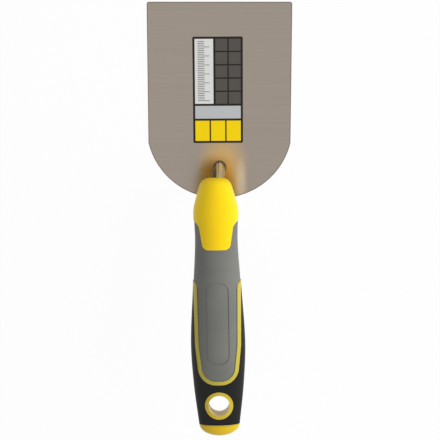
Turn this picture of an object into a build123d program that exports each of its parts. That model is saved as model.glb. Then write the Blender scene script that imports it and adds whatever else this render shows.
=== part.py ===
"""Flexible putty knife with a raised, soft-grip handle.

Frame: millimetres. The blade lies flat with its underside on Z = 0, +Y runs
towards the working edge and +Z is up. The origin is on the underside, straight
below the foot of the tang. The handle rises from the blade towards its butt,
and its neck is bent a little to one side, as such necks often are.
"""
import os
from math import atan, cos, degrees, pi, radians, sin

from build123d import *

# ---------------------------------------------------------------- blade
blade_width = 80.0
blade_length = 110.7          # heel to working edge
blade_thickness = 1.0
heel_radius = 41.0            # a little over half the width, so the sides meet it at a faint corner
blade_corner_radius = 1.2
edge_thickness = 0.5          # left by the grind along the working edge
grind_length = 9.0

# ---------------------------------------------------------------- tang and weld
rod_diameter = 7.0
foot_diameter = 6.0           # the rod is drawn in where it stands on the blade
foot_taper_length = 8.0
foot_setback = 18.0           # heel of the blade to the middle of the foot
bend_station = 9.0            # where the rod turns into the handle, behind the nose
neck_bend_radius = 10.5       # at the middle of the rod
tang_reach = 62.0             # nose of the handle to the end of the rod inside it
notch_depth = 1.0             # flats pressed into the rod, which key it in the core
notch_length = 9.0
notch_from_end = 7.0
weld_leg = 0.8                # width and height of the weld bead
weld_lip = 0.15               # what is left of its width at the top

# ---------------------------------------------------------------- handle form
handle_rise = 10.0            # degrees between the handle and the blade
handle_skew = 1.0             # degrees that the handle is turned in plan
nose_offset = -2.3            # sideways place of the nose, so that the butt comes back to the middle
handle_length = 135.8         # nose to the end of the grip, without the butt cap
nose_overlap = 17.6           # how far the nose reaches over the blade
nose_height = 28.0            # handle axis above the blade's underside, at the nose

nose_width = 15.4
nose_depth = 14.5
nose_droop = 3.0              # the nose dips towards the blade
nose_edge_radius = 4.0
shoulder_station = 20.0
shoulder_width = 24.9
shoulder_depth = 22.0
waist_station = 35.0
waist_width = 24.2
waist_depth = 20.5
belly_setback = 44.8          # widest place to the end of the grip
belly_width = 30.3
belly_depth = 24.0
butt_width = 22.8
butt_depth = 12.8
rounding_strips = 4           # straight-sided lengths that follow the rounded nose edge
nose_strips = 6               # from there to the shoulder
body_strips = 36              # shoulder to butt
cap_strips = 8                # and round the cap

# ---------------------------------------------------------------- mouldings
core_stands_proud = 0.15      # hard plastic out of the black grip
black_stands_proud = 0.25     # black grip out of the grey
web_half_width = 11.4         # the hidden core is a flat web with a taller rib along it
web_neck_half_width = 8.5     # narrower under the collar
web_butt_half_width = 6.5     # and towards the butt
web_nose_half_width = 5.0
web_half_depth = 4.0
rib_half_width = 6.0
rib_half_depth = 7.5
rib_butt_half_depth = 4.6
tongue_start_half_width = 9.9
tongue_end_half_width = 7.3
tongue_end_station = 38.7
tongue_corner_radius = 3.2
collar_apex = 22.6            # where the grey starts, at the sides
collar_arch_length = 5.0
collar_arch_height = 7.2
piping_apex = 56.6            # where the piping turns round the sides
piping_arch_length = 4.0
piping_arch_height = 5.0
piping_width = 2.0
panel_half_width = 12.1       # middle of the piping at the front of the panel
panel_belly_half_width = 11.6
panel_end_half_width = 9.3
panel_end_setback = 24.0      # end of the panel to the end of the grip
panel_side_radius = 30.0
panel_corner_radius = 8.5
recess_depth = 0.35           # long sunk field in each grey panel
recess_half_width = 6.2
recess_corner_radius = 5.0
recess_end_margin = 10.5      # from the field to the end of the panel

# ---------------------------------------------------------------- hang hole and cap
hole_setback = 11.2           # middle of the hole to the end of the grip
hole_diameter = 11.6
ring_width = 1.95
cap_length = 6.8
cap_step = 0.2                # the cap is this much smaller than the grip all round

# ---------------------------------------------------------------- label
label_width = 27.9
label_length = 59.7
label_thickness = 0.12
label_setback = 19.0          # from the working edge
label_corner_radius = 0.8
label_shift = -0.9            # stuck on a little off centre
label_turn = 0.35             # and a little askew, in degrees

os.makedirs("parts", exist_ok=True)

# ---------------------------------------------------------------- shared directions
rise = radians(handle_rise)
skew = radians(handle_skew)
to_butt = Vector(sin(skew) * cos(rise), -cos(skew) * cos(rise), sin(rise))
across = Vector(cos(skew), sin(skew), 0)
handle_up = to_butt.cross(across)
heel = -foot_setback
working_edge = heel + blade_length
nose_point = Vector(nose_offset, heel + nose_overlap, nose_height)
plan_plane = Plane(nose_point, x_dir=across, z_dir=handle_up)      # its -Y runs to the butt
side_plane = Plane(nose_point, x_dir=to_butt, z_dir=-across)
section_plane = Plane(nose_point, x_dir=across, z_dir=to_butt)
blade_top = Plane.XY.offset(blade_thickness)
belly_station = handle_length - belly_setback
panel_end_station = handle_length - panel_end_setback
hole_station = handle_length - hole_setback
reach = handle_length + cap_length
clear_of_handle = 2 * belly_width
half_piping = piping_width / 2


def between(start, end, share):
    """The value that lies a given share of the way from start to end."""
    return start + (end - start) * share


# Each section of the handle: station, width, depth, droop.
handle_sections = (
    (0, nose_width, nose_depth, nose_droop),
    (
        between(0, shoulder_station, 0.43),
        between(nose_width, shoulder_width, 0.54),
        between(nose_depth, shoulder_depth, 0.58),
        nose_droop * 0.5,
    ),
    (
        between(0, shoulder_station, 0.8),
        between(nose_width, shoulder_width, 0.95),
        between(nose_depth, shoulder_depth, 0.92),
        nose_droop * 0.15,
    ),
    (shoulder_station, shoulder_width, shoulder_depth, 0),
    (waist_station, waist_width, waist_depth, 0),
    (
        between(waist_station, belly_station, 0.45),
        between(waist_width, belly_width, 0.47),
        between(waist_depth, belly_depth, 0.6),
        0,
    ),
    (belly_station, belly_width, belly_depth, 0),
    (
        between(belly_station, handle_length, 0.52),
        between(belly_width, butt_width, 0.33),
        between(belly_depth, butt_depth, 0.5),
        0,
    ),
    (handle_length, butt_width, butt_depth, 0),
)


def section_at(station):
    """Width, depth and droop at a station, on smooth curves through the sections."""
    last = len(handle_sections) - 1
    index = sum(1 for section in handle_sections[1:-1] if section[0] <= station)
    before, start, end, after = (
        handle_sections[max(0, min(last, index + step))] for step in (-1, 0, 1, 2)
    )
    span = end[0] - start[0]
    t = (station - start[0]) / span
    values = []
    for column in (1, 2, 3):
        start_slope = (end[column] - before[column]) / (end[0] - before[0]) * span
        end_slope = (after[column] - start[column]) / (after[0] - start[0]) * span
        values.append(
            (2 * t**3 - 3 * t**2 + 1) * start[column]
            + (t**3 - 2 * t**2 + t) * start_slope
            + (3 * t**2 - 2 * t**3) * end[column]
            + (t**3 - t**2) * end_slope
        )
    return values


def handle_form(inset):
    """The outer form of the handle without its cap, drawn in by inset."""
    stations = []
    for step in range(rounding_strips):
        angle = pi / 2 * step / rounding_strips
        stations.append((nose_edge_radius * (1 - cos(angle)), nose_edge_radius * (1 - sin(angle))))
    for step in range(nose_strips):
        stations.append((between(nose_edge_radius, shoulder_station, step / nose_strips), 0))
    for step in range(body_strips + 1):
        stations.append((between(shoulder_station, handle_length, step / body_strips), 0))
    with BuildPart() as form:
        for station, edge_inset in stations:
            width, depth, droop = section_at(station)
            drawn_in = inset + edge_inset
            with BuildSketch(section_plane.offset(station)):
                with Locations((0, -droop)):
                    Ellipse(width / 2 - drawn_in, depth / 2 - drawn_in)
        loft(ruled=True)
    return form.part


def tongue_outline():
    """Plan outline of the yellow nose with its tongue."""
    taper = (tongue_start_half_width - tongue_end_half_width) / (tongue_end_station - collar_apex)
    front_half_width = tongue_end_half_width + taper * (tongue_end_station + cap_length)
    with BuildSketch() as tongue:
        with BuildLine():
            Polyline(
                (-front_half_width, cap_length),
                (-tongue_end_half_width, -tongue_end_station),
                (tongue_end_half_width, -tongue_end_station),
                (front_half_width, cap_length),
                close=True,
            )
        make_face()
        fillet(tongue.vertices().group_by(Axis.Y)[0], tongue_corner_radius)
    return tongue.sketch


def panel_outline(margin):
    """Plan outline of the grey panels along the middle of the piping, widened by margin."""
    with BuildSketch() as panel:
        with BuildLine():
            Polyline(
                (-panel_half_width - margin, cap_length),
                (-panel_half_width - margin, -piping_apex),
                (-panel_belly_half_width - margin, -belly_station),
                (-panel_end_half_width - margin, -panel_end_station - margin),
                (panel_end_half_width + margin, -panel_end_station - margin),
                (panel_belly_half_width + margin, -belly_station),
                (panel_half_width + margin, -piping_apex),
                (panel_half_width + margin, cap_length),
                close=True,
            )
        make_face()
        fillet(panel.vertices().group_by(Axis.Y)[1], panel_side_radius)
        fillet(panel.vertices().group_by(Axis.Y)[0], panel_corner_radius + margin)
    return panel.sketch


def region_behind(outline, apex, arch_length, arch_height):
    """Space outside a plan outline, and behind a round arch that is drawn on the sides."""
    with BuildPart() as region:
        with BuildSketch(plan_plane):
            with Locations((0, -reach / 2)):
                Rectangle(2 * clear_of_handle, 2 * reach)
            add(outline, mode=Mode.SUBTRACT)
        extrude(amount=clear_of_handle, both=True)
        with BuildSketch(side_plane):
            with Locations((apex + arch_length, 0)):
                Ellipse(arch_length, arch_height)
            with Locations((apex + arch_length + reach, 0)):
                Rectangle(2 * reach, 2 * clear_of_handle)
        extrude(amount=clear_of_handle, both=True, mode=Mode.INTERSECT)
    return region.part


black_inset = core_stands_proud
grey_inset = core_stands_proud + black_stands_proud
outer_form = handle_form(0)
black_form = handle_form(black_inset)
grey_form = handle_form(grey_inset)
recess_form = handle_form(grey_inset + recess_depth)

soft_region = region_behind(tongue_outline(), collar_apex, collar_arch_length, collar_arch_height)
piping_region = region_behind(
    panel_outline(-half_piping),
    piping_apex - half_piping,
    piping_arch_length,
    piping_arch_height + half_piping,
)
black_region = region_behind(
    panel_outline(half_piping),
    piping_apex + half_piping,
    piping_arch_length,
    piping_arch_height - half_piping,
)

# ---------------------------------------------------------------- blade
with BuildPart() as blade:
    with BuildSketch():
        with Locations((0, heel + blade_length / 2)):
            Rectangle(blade_width, blade_length)
        with BuildSketch(mode=Mode.INTERSECT):
            with Locations((0, heel + heel_radius)):
                Circle(heel_radius)
            with Locations((0, heel + heel_radius + blade_length / 2)):
                Rectangle(blade_width, blade_length)
    extrude(amount=blade_thickness)
    fillet(blade.edges().filter_by(Axis.Z).group_by(Axis.Y)[-1], blade_corner_radius)
    with BuildSketch(Plane.YZ):
        with BuildLine():
            Polyline(
                (working_edge - grind_length, blade_thickness),
                (working_edge, blade_thickness),
                (working_edge, edge_thickness),
                close=True,
            )
        make_face()
    extrude(amount=blade_width, both=True, mode=Mode.SUBTRACT)
blade.part.label = "blade"
export_step(blade.part, "parts/blade.step")

# ---------------------------------------------------------------- tang
# The leg leans back from the blade, bends once and runs on along the handle.
foot = Vector(0, 0, blade_thickness)
corner = nose_point + to_butt * bend_station
tang_end = nose_point + to_butt * tang_reach
up_the_leg = (corner - foot).normalized()
taper_top = foot + up_the_leg * foot_taper_length
foot_taper = degrees(atan((rod_diameter - foot_diameter) / 2 / foot_taper_length))
with BuildPart() as tang:
    with BuildLine() as tang_line:
        FilletPolyline(taper_top, corner, tang_end, radius=neck_bend_radius)
    with BuildSketch(Plane(taper_top, z_dir=up_the_leg)):
        Circle(rod_diameter / 2)
    sweep(path=tang_line.line)
    with BuildSketch(Plane(taper_top, z_dir=-up_the_leg)):
        Circle(rod_diameter / 2)
    extrude(amount=foot_taper_length + foot_diameter, taper=foot_taper)
    split(bisect_by=blade_top, keep=Keep.TOP)
    with BuildSketch(section_plane.offset(tang_reach - notch_from_end - notch_length)):
        Rectangle(2 * rod_diameter, 2 * rod_diameter)
        Rectangle(rod_diameter - 2 * notch_depth, 2 * rod_diameter, mode=Mode.SUBTRACT)
    extrude(amount=notch_length, mode=Mode.SUBTRACT)
    chamfer(tang.faces().sort_by(Axis.Y)[0].edges(), notch_depth)
tang.part.label = "tang"
export_step(tang.part, "parts/tang.step")

# ---------------------------------------------------------------- weld bead
# The rod meets the blade in an ellipse, because it leans.
lean = radians(up_the_leg.get_angle(Vector(0, 0, 1)))
beside_the_leg = Vector(-up_the_leg.Y, up_the_leg.X, 0)
with BuildPart() as weld_bead:
    for height, margin in ((0, weld_leg), (weld_leg, weld_lip)):
        middle = foot + up_the_leg * (height / cos(lean))
        with BuildSketch(Plane(middle, x_dir=beside_the_leg, z_dir=(0, 0, 1))):
            Ellipse(foot_diameter / 2 + margin, foot_diameter / 2 / cos(lean) + margin)
    loft(ruled=True)
    add(tang.part, mode=Mode.SUBTRACT)
weld_bead.part.label = "weld_bead"
export_step(weld_bead.part, "parts/weld_bead.step")

# ---------------------------------------------------------------- handle core
with BuildPart() as hang_hole:
    with BuildSketch(plan_plane):
        with Locations((0, -hole_station)):
            Circle(hole_diameter / 2)
    extrude(amount=clear_of_handle, both=True)

with BuildPart() as ring:
    with BuildSketch(plan_plane):
        with Locations((0, -hole_station)):
            Circle(hole_diameter / 2 + ring_width)
    extrude(amount=clear_of_handle, both=True)

# The web carries the piping at its sides; the rib holds the tang.
with BuildPart() as web_and_rib:
    with BuildSketch(plan_plane):
        with BuildLine():
            Polyline(
                (0, -nose_edge_radius),
                (web_nose_half_width, -nose_edge_radius),
                (web_neck_half_width, -shoulder_station),
                (web_neck_half_width, -piping_apex + piping_arch_length),
                (web_half_width, -piping_apex - piping_arch_length),
                (web_half_width, -belly_station),
                (web_butt_half_width, -panel_end_station),
                (web_butt_half_width, -handle_length),
                (0, -handle_length),
                close=True,
            )
        make_face()
        mirror(about=Plane.YZ)
    extrude(amount=web_half_depth, both=True)
    with BuildSketch(side_plane):
        with BuildLine():
            Polyline(
                (shoulder_station / 2, 0),
                (shoulder_station, rib_half_depth),
                (belly_station, rib_half_depth),
                (handle_length, rib_butt_half_depth),
                (handle_length, 0),
                close=True,
            )
        make_face()
        mirror(about=Plane.XZ)
    extrude(amount=rib_half_width, both=True)

# The cap is a half egg as wide and as deep as the grip's end.
with BuildPart() as butt_cap:
    for step in range(cap_strips):
        angle = pi / 2 * step / cap_strips
        with BuildSketch(section_plane.offset(handle_length + cap_length * sin(angle))):
            Ellipse((butt_width / 2 - cap_step) * cos(angle), (butt_depth / 2 - cap_step) * cos(angle))
    loft(ruled=True)

with BuildPart() as handle_core:
    add(outer_form - soft_region)
    add(web_and_rib.part)
    add(outer_form & (piping_region - black_region))
    add(outer_form & ring.part)
    add(butt_cap.part)
    add(tang.part, mode=Mode.SUBTRACT)
    add(hang_hole.part, mode=Mode.SUBTRACT)
handle_core.part.label = "handle_core"
export_step(handle_core.part, "parts/handle_core.step")

# ---------------------------------------------------------------- soft grips
recess_end = panel_end_station - recess_end_margin
with BuildPart() as recess:
    with BuildSketch(plan_plane):
        with Locations((0, -(piping_apex + recess_end) / 2)):
            RectangleRounded(2 * recess_half_width, recess_end - piping_apex, recess_corner_radius)
    extrude(amount=clear_of_handle, both=True)
    add(recess_form, mode=Mode.SUBTRACT)

with BuildPart() as grey_grip:
    add(grey_form & (soft_region - piping_region))
    add(web_and_rib.part, mode=Mode.SUBTRACT)
    add(recess.part, mode=Mode.SUBTRACT)
grey_grip.part.label = "grey_grip"
export_step(grey_grip.part, "parts/grey_grip.step")

with BuildPart() as black_grip:
    add(black_form & black_region)
    add(web_and_rib.part, mode=Mode.SUBTRACT)
    add(ring.part, mode=Mode.SUBTRACT)
black_grip.part.label = "black_grip"
export_step(black_grip.part, "parts/black_grip.step")

# ---------------------------------------------------------------- label
label_middle = working_edge - label_setback - label_length / 2
with BuildPart() as label:
    with BuildSketch(blade_top):
        with Locations(Location((label_shift, label_middle, 0), (0, 0, label_turn))):
            RectangleRounded(label_width, label_length, label_corner_radius)
    extrude(amount=label_thickness)
label.part.label = "label"
export_step(label.part, "parts/label.step")
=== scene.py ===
"""Flexible putty knife with a raised soft-grip handle: studio view and finishes."""
from math import cos, radians, sin

import bmesh
import bpy
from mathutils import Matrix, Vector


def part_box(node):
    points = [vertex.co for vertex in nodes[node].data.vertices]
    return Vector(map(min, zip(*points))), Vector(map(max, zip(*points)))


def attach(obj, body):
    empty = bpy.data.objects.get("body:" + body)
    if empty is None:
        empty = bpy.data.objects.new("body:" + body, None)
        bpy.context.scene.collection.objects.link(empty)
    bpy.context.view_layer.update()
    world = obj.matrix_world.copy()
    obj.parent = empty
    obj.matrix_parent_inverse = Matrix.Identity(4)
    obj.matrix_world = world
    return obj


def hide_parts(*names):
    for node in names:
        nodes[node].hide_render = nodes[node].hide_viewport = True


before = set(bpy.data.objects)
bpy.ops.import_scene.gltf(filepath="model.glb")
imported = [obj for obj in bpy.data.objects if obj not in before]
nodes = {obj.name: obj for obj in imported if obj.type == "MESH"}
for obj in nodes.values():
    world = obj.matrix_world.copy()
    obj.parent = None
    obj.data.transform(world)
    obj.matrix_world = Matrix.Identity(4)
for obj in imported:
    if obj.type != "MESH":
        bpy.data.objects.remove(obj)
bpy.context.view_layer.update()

# ---- Studio -------------------------------------------------------------
# A white floor that runs out of sight under a weak sky, and one soft lamp low
# on the right. The camera looks down on the tool from ahead of its blade.
scene = bpy.context.scene
scene.view_settings.view_transform = "Standard"

camera_pitch = radians(14.2)
camera_distance = 0.75
look_at = (0.0003, -0.0311, 0.0)
camera = bpy.data.objects.new("camera", bpy.data.cameras.new("camera"))
camera_lens = 107.1
camera.data.lens = camera_lens
camera.data.sensor_width = 36.0
camera.location = (
    look_at[0],
    look_at[1] + camera_distance * sin(camera_pitch),
    look_at[2] + camera_distance * cos(camera_pitch),
)
camera.rotation_euler = (-camera_pitch, 0.0, 0.0)
scene.collection.objects.link(camera)
scene.camera = camera


def calc(tree, operation, first, second=0.0):
    """A sum on two values, each of them a socket or a number."""
    node = tree.nodes.new("ShaderNodeMath")
    node.operation = operation
    for socket, value in zip(node.inputs, (first, second)):
        if isinstance(value, bpy.types.NodeSocket):
            tree.links.new(value, socket)
        else:
            socket.default_value = value
    return node.outputs[0]


def seen_directly(tree):
    """1 where the camera, a reflection or a clear piece looks, 0 for the light itself."""
    path = tree.nodes.new("ShaderNodeLightPath")
    mirrored = calc(tree, "MAXIMUM", path.outputs["Is Glossy Ray"], path.outputs["Is Transmission Ray"])
    return calc(tree, "MAXIMUM", path.outputs["Is Camera Ray"], mirrored)


floor_reach = 6.0
floor_drop = 0.0001
floor_grey = 0.86
floor_roughness = 0.9
floor_white_share = 0.95
floor_mesh = bpy.data.meshes.new("floor")
floor_mesh.from_pydata(
    [(x * floor_reach, y * floor_reach, -floor_drop) for x, y in ((-1, -1), (1, -1), (1, 1), (-1, 1))],
    [],
    [(0, 1, 2, 3)],
)
floor_paint = bpy.data.materials.new("floor_paint")
floor_paint.use_nodes = True
floor_tree = floor_paint.node_tree
floor_shader = floor_tree.nodes["Principled BSDF"]
floor_shader.inputs["Base Color"].default_value = (floor_grey, floor_grey, floor_grey, 1)
floor_shader.inputs["Roughness"].default_value = floor_roughness
white_light = floor_tree.nodes.new("ShaderNodeEmission")
floor_mix = floor_tree.nodes.new("ShaderNodeMixShader")
floor_white = calc(floor_tree, "MULTIPLY", seen_directly(floor_tree), floor_white_share)
floor_tree.links.new(floor_white, floor_mix.inputs[0])
floor_tree.links.new(floor_shader.outputs[0], floor_mix.inputs[1])
floor_tree.links.new(white_light.outputs[0], floor_mix.inputs[2])
floor_tree.links.new(floor_mix.outputs[0], floor_tree.nodes["Material Output"].inputs[0])
floor_mesh.materials.append(floor_paint)
floor = bpy.data.objects.new("floor", floor_mesh)
scene.collection.objects.link(floor)

room_light = 0.5
world = bpy.data.worlds.new("studio_room")
world.use_nodes = True
scene.world = world
room_tree = world.node_tree
dim_room = room_tree.nodes["Background"]
dim_room.inputs["Color"].default_value = (1, 1, 1, 1)
dim_room.inputs["Strength"].default_value = room_light
white_room = room_tree.nodes.new("ShaderNodeBackground")
white_room.inputs["Color"].default_value = (1, 1, 1, 1)
room_mix = room_tree.nodes.new("ShaderNodeMixShader")
room_tree.links.new(seen_directly(room_tree), room_mix.inputs[0])
room_tree.links.new(dim_room.outputs[0], room_mix.inputs[1])
room_tree.links.new(white_room.outputs[0], room_mix.inputs[2])
room_tree.links.new(room_mix.outputs[0], room_tree.nodes["World Output"].inputs[0])

lamp = bpy.data.objects.new("right_soft_box", bpy.data.lights.new("right_soft_box", "AREA"))
lamp.data.shape = "RECTANGLE"
lamp.data.size = 0.8
lamp.data.size_y = 0.7
lamp.data.energy = 11.4
lamp.location = (1.0, 0.15, 0.62)
lamp.rotation_mode = "QUATERNION"
lamp.rotation_quaternion = lamp.location.to_track_quat("Z", "Y")
# The lamp is kept out of reflections, in which it turns the whole blade white.
lamp.visible_glossy = False
scene.collection.objects.link(lamp)

# ---- Blade --------------------------------------------------------------
# A flat sheet of stainless steel with a round heel. It is satin finished by a
# belt that runs across it, so its fine scratches lie side to side.


def linear(color):
    """An sRGB colour from 0 to 255 as linear light, with full cover."""
    shares = [value / 255 for value in color]
    return (*[share / 12.92 if share <= 0.04045 else ((share + 0.055) / 1.055) ** 2.4 for share in shares], 1)


def new_material(name, color, roughness, metallic=0.0):
    """A material whose plain settings stand on the shader's own sockets."""
    material = bpy.data.materials.new(name)
    material.use_nodes = True
    shader = material.node_tree.nodes["Principled BSDF"]
    shader.inputs["Base Color"].default_value = linear(color)
    shader.inputs["Roughness"].default_value = roughness
    shader.inputs["Metallic"].default_value = metallic
    return material, shader, material.node_tree


def surface_group(name, inputs, outputs):
    """A new node group with the named inputs and outputs, all of them numbers."""
    group = bpy.data.node_groups.new(name, "ShaderNodeTree")
    for socket_name in inputs:
        group.interface.new_socket(socket_name, in_out="INPUT", socket_type="NodeSocketFloat")
    for socket_name in outputs:
        group.interface.new_socket(socket_name, in_out="OUTPUT", socket_type="NodeSocketFloat")
    return group, group.nodes.new("NodeGroupInput"), group.nodes.new("NodeGroupOutput")


def place_axis(tree, axis):
    """The object's own X, Y or Z, in metres."""
    place = tree.nodes.new("ShaderNodeTexCoord")
    split = tree.nodes.new("ShaderNodeSeparateXYZ")
    tree.links.new(place.outputs["Object"], split.inputs[0])
    return split.outputs[axis]


def mask(tree, source, low, high):
    """0 where the source is at low, 1 where it is at high, and straight between."""
    node = tree.nodes.new("ShaderNodeMapRange")
    node.inputs["From Min"].default_value = low
    node.inputs["From Max"].default_value = high
    tree.links.new(source, node.inputs["Value"])
    return node.outputs[0]


def span(tree, source, low, high):
    """Turn a mask into a value between two numbers."""
    node = tree.nodes.new("ShaderNodeMapRange")
    node.inputs["To Min"].default_value = low
    node.inputs["To Max"].default_value = high
    tree.links.new(source, node.inputs["Value"])
    return node.outputs[0]


def blend(tree, source, first, second):
    """Turn a mask into a colour between two colours, each an sRGB colour or another blend."""
    node = tree.nodes.new("ShaderNodeMix")
    node.data_type = "RGBA"
    tree.links.new(source, node.inputs["Factor"])
    for socket, color in ((node.inputs[6], first), (node.inputs[7], second)):
        if isinstance(color, tuple):
            socket.default_value = linear(color)
        else:
            tree.links.new(color, socket)
    return node.outputs[2]


def raise_bumps(tree, shader, source, strength, distance):
    """Bend the surface's normals by a height mask."""
    bump = tree.nodes.new("ShaderNodeBump")
    bump.inputs["Strength"].default_value = strength
    bump.inputs["Distance"].default_value = distance
    tree.links.new(source, bump.inputs["Height"])
    tree.links.new(bump.outputs[0], shader.inputs["Normal"])


def noise(tree, vector, scale, detail):
    """A cloud of noise over a vector; the scale is a number or a socket."""
    node = tree.nodes.new("ShaderNodeTexNoise")
    node.inputs["Detail"].default_value = detail
    if isinstance(scale, float):
        node.inputs["Scale"].default_value = scale
    else:
        tree.links.new(scale, node.inputs["Scale"])
    tree.links.new(vector, node.inputs["Vector"])
    return node.outputs[0]


scratches, scratch_in, scratch_out = surface_group("belt_scratches", ("Along", "Across"), ("Height", "Shade"))
scratch_grid = scratches.nodes.new("ShaderNodeCombineXYZ")
for axis, stretch in (("X", "Along"), ("Y", "Across")):
    stretched = calc(scratches, "MULTIPLY", place_axis(scratches, axis), scratch_in.outputs[stretch])
    scratches.links.new(stretched, scratch_grid.inputs[axis])
scratches.links.new(noise(scratches, scratch_grid.outputs[0], 1.0, 3.0), scratch_out.inputs["Height"])
scratches.links.new(noise(scratches, scratch_grid.outputs[0], 0.12, 2.0), scratch_out.inputs["Shade"])


def dress(node, material):
    """Give a CAD node its finish."""
    mesh = nodes[node].data
    mesh.materials.clear()
    mesh.materials.append(material)


satin_steel, satin_shader, satin_tree = new_material("satin_steel", (155, 145, 135), 0.3, 1.0)
belt = satin_tree.nodes.new("ShaderNodeGroup")
belt.node_tree = scratches
belt.inputs["Along"].default_value = 60.0
belt.inputs["Across"].default_value = 12000.0
belt_shade = mask(satin_tree, belt.outputs["Shade"], 0.35, 0.65)
brushed = blend(satin_tree, belt_shade, (153, 143, 133), (157, 147, 137))

# A straw tint lies on the steel round the weld: heat tint and a painted reflection of the yellow nose
# together. Beside the nose lies a pale streak, which is a painted highlight.
straw_and_reflection_color = (212, 172, 98)
painted_highlight_color = (226, 208, 178)
blade_x = place_axis(satin_tree, "X")
blade_y = place_axis(satin_tree, "Y")


def tint_and_light_spot(middle, reach, share):
    """A soft oval spot on the blade: its share in the middle, 0 from its reach outwards."""
    squares = []
    for place, centre, half in zip((blade_x, blade_y), middle, reach):
        away = calc(satin_tree, "DIVIDE", calc(satin_tree, "SUBTRACT", place, centre), half)
        squares.append(calc(satin_tree, "POWER", calc(satin_tree, "ABSOLUTE", away), 2.0))
    distance = calc(satin_tree, "SQRT", calc(satin_tree, "ADD", *squares))
    return calc(satin_tree, "MULTIPLY", mask(satin_tree, distance, 1.0, 0.3), share)


# The straw spot is heat tint and a painted reflection of the yellow nose together.
tint_and_reflection = blend(satin_tree, tint_and_light_spot((0.0020, 0.0025), (0.0150, 0.0205), 0.72), brushed, straw_and_reflection_color)
# The pale streak is a painted highlight.
tint_reflection_and_highlight = blend(satin_tree, tint_and_light_spot((0.0120, -0.0090), (0.0042, 0.0160), 0.45), tint_and_reflection, painted_highlight_color)

# A thin band along its border is darker than the rest.
border = 0.0006
border_color = (116, 107, 98)
blade_low, blade_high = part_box("blade")
heel_radius = 0.041
heel_middle_y = blade_low[1] + heel_radius
from_heel = calc(satin_tree, "SUBTRACT", blade_y, heel_middle_y)
behind_middle = calc(satin_tree, "ABSOLUTE", calc(satin_tree, "MINIMUM", from_heel, 0.0))
heel_square = calc(satin_tree, "POWER", behind_middle, 2.0)
side_square = calc(satin_tree, "POWER", calc(satin_tree, "ABSOLUTE", blade_x), 2.0)
heel_distance = calc(satin_tree, "SQRT", calc(satin_tree, "ADD", side_square, heel_square))
past_heel = calc(satin_tree, "SUBTRACT", heel_distance, heel_radius)
past_side = calc(satin_tree, "SUBTRACT", calc(satin_tree, "ABSOLUTE", blade_x), blade_high[0])
past_front = calc(satin_tree, "SUBTRACT", blade_y, blade_high[1])
past_border = calc(satin_tree, "MAXIMUM", calc(satin_tree, "MAXIMUM", past_heel, past_side), past_front)
satin_tree.links.new(
    blend(satin_tree, mask(satin_tree, past_border, -border, -border / 2), tint_reflection_and_highlight, border_color),
    satin_shader.inputs["Base Color"],
)
satin_tree.links.new(span(satin_tree, belt.outputs["Shade"], 0.21, 0.25), satin_shader.inputs["Roughness"])
raise_bumps(satin_tree, satin_shader, belt.outputs["Height"], 0.16, 0.00003)
dress("blade", satin_steel)

# ---- Tang and weld ------------------------------------------------------
# A bent round rod of bright steel stands on the blade, held by a ring of weld.
# Only its short neck shows; the rest runs on inside the handle.
bright_steel, bright_shader, bright_tree = new_material("bright_steel", (206, 200, 192), 0.25, 1.0)
draw_grid = bright_tree.nodes.new("ShaderNodeCombineXYZ")
draw_shift = 5.2
for axis, marks_per_metre in (("X", 640.0), ("Z", 14.0)):
    stretched = calc(bright_tree, "MULTIPLY", place_axis(bright_tree, axis), marks_per_metre)
    bright_tree.links.new(calc(bright_tree, "ADD", stretched, draw_shift), draw_grid.inputs[axis])
marks_and_reflections = noise(bright_tree, draw_grid.outputs[0], 1.0, 1.0)
# The stripes run from dark grey to near white: real draw marks and painted reflection streaks together.
marks_and_painted_reflections = blend(bright_tree, mask(bright_tree, marks_and_reflections, 0.42, 0.56), (104, 98, 92), (248, 248, 250))

# One side of the rod is painted darker: a painted dark reflection and shade on that side.
rod_painted_shade_color = (86, 78, 70)
rod_painted_shade = mask(bright_tree, place_axis(bright_tree, "X"), -0.0008, -0.0024)
bright_tree.links.new(
    blend(bright_tree, rod_painted_shade, marks_and_painted_reflections, rod_painted_shade_color),
    bright_shader.inputs["Base Color"],
)
bright_tree.links.new(span(bright_tree, marks_and_reflections, 0.2, 0.34), bright_shader.inputs["Roughness"])
dress("tang", bright_steel)

weld_metal, weld_shader, weld_tree = new_material("weld_metal", (140, 132, 124), 0.42, 1.0)
ripples = noise(weld_tree, weld_tree.nodes.new("ShaderNodeTexCoord").outputs["Object"], 1400.0, 2.0)
weld_tree.links.new(
    blend(weld_tree, mask(weld_tree, ripples, 0.3, 0.7), (66, 58, 50), (118, 106, 92)),
    weld_shader.inputs["Base Color"],
)
raise_bumps(weld_tree, weld_shader, ripples, 0.5, 0.0001)
dress("weld_bead", weld_metal)

# ---- Handle core --------------------------------------------------------
# Hard yellow plastic, moulded over the tang. It shows as the nose and its
# tongue, and as the piping, the ring of the hang hole and the domed cap at
# the butt, which are the same plastic painted in duller yellows as painted shade.
moulded_grain, grain_in, grain_out = surface_group("moulded_grain", ("Grain",), ("Height", "Cloud"))
grain_place = moulded_grain.nodes.new("ShaderNodeTexCoord").outputs["Object"]
fine_grain = noise(moulded_grain, grain_place, grain_in.outputs["Grain"], 2.0)
moulded_grain.links.new(fine_grain, grain_out.inputs["Height"])
moulded_grain.links.new(noise(moulded_grain, grain_place, 60.0, 2.0), grain_out.inputs["Cloud"])


def moulded(name, dark, light, roughness_low, roughness_high, grain, strength):
    """Plastic or rubber out of a mould: faint clouds of colour, and a fine grain from the mould's skin."""
    material, shader, tree = new_material(name, dark, roughness_high)
    skin = tree.nodes.new("ShaderNodeGroup")
    skin.node_tree = moulded_grain
    skin.inputs["Grain"].default_value = grain
    clouds = mask(tree, skin.outputs["Cloud"], 0.35, 0.65)
    color = blend(tree, clouds, dark, light)
    tree.links.new(color, shader.inputs["Base Color"])
    gloss = span(tree, skin.outputs["Cloud"], roughness_low, roughness_high)
    tree.links.new(gloss, shader.inputs["Roughness"])
    raise_bumps(tree, shader, skin.outputs["Height"], strength, 0.0001)
    return material, shader, tree, color


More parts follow.
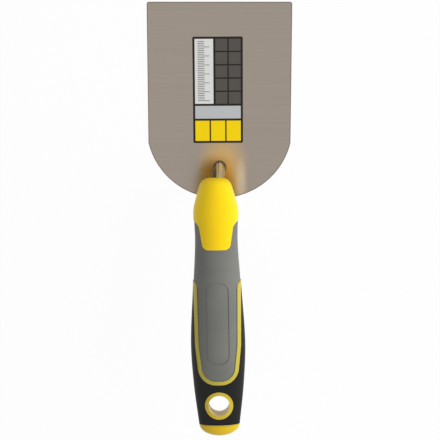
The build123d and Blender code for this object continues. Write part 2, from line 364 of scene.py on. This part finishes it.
def smooth_skin(node, material):
    """Show a copy of a CAD node whose face borders are welded, so that light runs smoothly over them."""
    dress(node, material)
    mesh = nodes[node].data.copy()
    shape = bmesh.new()
    shape.from_mesh(mesh)
    bmesh.ops.remove_doubles(shape, verts=shape.verts, dist=weld_distance)
    shape.to_mesh(mesh)
    shape.free()
    if "custom_normal" in mesh.attributes:
        mesh.attributes.remove(mesh.attributes["custom_normal"])
    mesh.shade_smooth()
    mesh.set_sharp_from_angle(angle=crease_angle)
    piece = bpy.data.objects.new(node + "_skin", mesh)
    scene.collection.objects.link(piece)
    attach(piece, "root")
    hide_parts(node)


weld_distance = 0.00001
crease_angle = radians(28)

yellow_plastic, yellow_shader, yellow_tree, fresh_yellow = moulded(
    "yellow_plastic", (255, 213, 0), (255, 218, 0), 0.3, 0.38, 3000.0, 0.04
)
yellow_shader.inputs["Specular IOR Level"].default_value = 0.3
core_y = place_axis(yellow_tree, "Y")
collar_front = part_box("grey_grip")[1][1]
grip_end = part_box("black_grip")[0][1]
# The piping, the ring and the cap are painted duller: this is painted shade on the same yellow plastic.
shaded_piping_color = (192, 177, 66)
shaded_ring_color = (208, 182, 50)
shaded_cap_color = (232, 193, 22)
behind_tongue = mask(yellow_tree, core_y, collar_front - 0.024, collar_front - 0.026)
on_the_cap = mask(yellow_tree, core_y, grip_end + 0.0010, grip_end + 0.0008)
by_the_hole = mask(yellow_tree, core_y, grip_end + 0.0215, grip_end + 0.0205)
shaded_piping_yellow = blend(yellow_tree, behind_tongue, fresh_yellow, shaded_piping_color)
shaded_ring_yellow = blend(yellow_tree, by_the_hole, shaded_piping_yellow, shaded_ring_color)
yellow_tree.links.new(
    blend(yellow_tree, on_the_cap, shaded_ring_yellow, shaded_cap_color),
    yellow_shader.inputs["Base Color"],
)
smooth_skin("handle_core", yellow_plastic)

# ---- Soft grips ---------------------------------------------------------
# Two shots of soft rubber over the core: a grey one for the collar and the
# panels, and a black one for the sides and the end. Both are matt.
grey_rubber, grey_shader = moulded("grey_rubber", (114, 115, 110), (120, 121, 115), 0.5, 0.6, 5000.0, 0.1)[:2]
grey_shader.inputs["Specular IOR Level"].default_value = 0.3
smooth_skin("grey_grip", grey_rubber)
black_rubber, black_shader = moulded("black_rubber", (20, 20, 19), (26, 26, 24), 0.5, 0.6, 5000.0, 0.1)[:2]
black_shader.inputs["Specular IOR Level"].default_value = 0.2
smooth_skin("black_grip", black_rubber)

# ---- Label --------------------------------------------------------------
# A printed film sticker on the blade: plain blocks of colour and a plain
# millimetre scale on a dark ground. Each ink is a thin closed layer on top.
film_ink, film_shader, film_tree = new_material("film_ink", (28, 24, 20), 0.3)
film_shader.inputs["Specular IOR Level"].default_value = 0.2
film_clouds = noise(film_tree, film_tree.nodes.new("ShaderNodeTexCoord").outputs["Object"], 300.0, 2.0)
film_tree.links.new(span(film_tree, film_clouds, 0.24, 0.34), film_shader.inputs["Roughness"])
dress("label", film_ink)

label_low, label_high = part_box("label")
label_middle = [(low + high) / 2 for low, high in zip(label_low, label_high)]
label_turn = radians(0.35)
label_half_width = 0.01395
label_half_length = 0.02985
ink_thickness = 0.00002
print_margin = 0.0012


def printed(name, color, roughness, metallic, layer, fields):
    """A layer of ink on the label. Each field is left, front, right and back, in metres from its middle."""
    material, shader, tree = new_material(name, color, roughness, metallic)
    shader.inputs["Specular IOR Level"].default_value = 0.2
    grain = noise(tree, tree.nodes.new("ShaderNodeTexCoord").outputs["Object"], 500.0, 2.0)
    tree.links.new(span(tree, grain, roughness - 0.04, roughness + 0.04), shader.inputs["Roughness"])
    shape = bmesh.new()
    for left, front, right, back in fields:
        corners = []
        for level in (layer, layer + 1):
            for x, y in ((left, front), (right, front), (right, back), (left, back)):
                corners.append(shape.verts.new((
                    label_middle[0] + x * cos(label_turn) - y * sin(label_turn),
                    label_middle[1] + x * sin(label_turn) + y * cos(label_turn),
                    label_high[2] + level * ink_thickness,
                )))
        for face in ((3, 2, 1, 0), (4, 5, 6, 7), (0, 1, 5, 4), (1, 2, 6, 5), (2, 3, 7, 6), (3, 0, 4, 7)):
            shape.faces.new([corners[index] for index in face])
    mesh = bpy.data.meshes.new(name)
    shape.to_mesh(mesh)
    shape.free()
    mesh.materials.append(material)
    piece = bpy.data.objects.new(name, mesh)
    scene.collection.objects.link(piece)
    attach(piece, "root")


left_edge = print_margin - label_half_width
right_edge = label_half_width - print_margin
back_edge = label_half_length - print_margin

# A white panel with a scale along it, beside two columns of grey squares.
square = 0.0066
square_gap = 0.0008
block_space = 0.0012
square_step = square + square_gap
panel_right = right_edge - 2 * square - square_gap - block_space
panel_length = 5 * square + 4 * square_gap
panel_front = back_edge - panel_length
printed("white_ink", (226, 226, 224), 0.35, 0.0, 0, [(left_edge, panel_front, panel_right, back_edge)])
grey_squares = []
for column in range(2):
    for row in range(5):
        right = right_edge - column * square_step
        front = panel_front + row * square_step
        grey_squares.append((right - square, front, right, front + square))
printed("grey_ink", (84, 80, 76), 0.35, 0.0, 0, grey_squares)

# A silver strip, and under it three yellow blocks side by side.
strip_length = 0.0072
strip_back = panel_front - block_space
strip_front = strip_back - strip_length
printed("silver_ink", (186, 188, 190), 0.28, 0.6, 0, [(left_edge, strip_front, right_edge, strip_back)])
block_width = (right_edge - left_edge - 2 * square_gap) / 3
block_back = strip_front - block_space
block_front = print_margin - label_half_length
yellow_blocks = []
for column in range(3):
    left = left_edge + column * (block_width + square_gap)
    yellow_blocks.append((left, block_front, left + block_width, block_back))
printed("yellow_ink", (252, 218, 0), 0.35, 0.0, 0, yellow_blocks)

# The scale down the white panel, in millimetres, with a longer mark at every fifth.
mark_width = 0.0003
mark_step = 0.001
mark_inset = 0.0016
mark_count = 34
long_mark = 0.0066
short_mark = 0.0038
dark_marks = []
for mark in range(mark_count):
    left = left_edge + mark_inset
    front = panel_front + mark_inset + mark * mark_step
    mark_length = long_mark if mark % 5 == 0 else short_mark
    dark_marks.append((left, front, left + mark_length, front + mark_width))
printed("dark_ink", (40, 38, 38), 0.35, 0.0, 1, dark_marks)
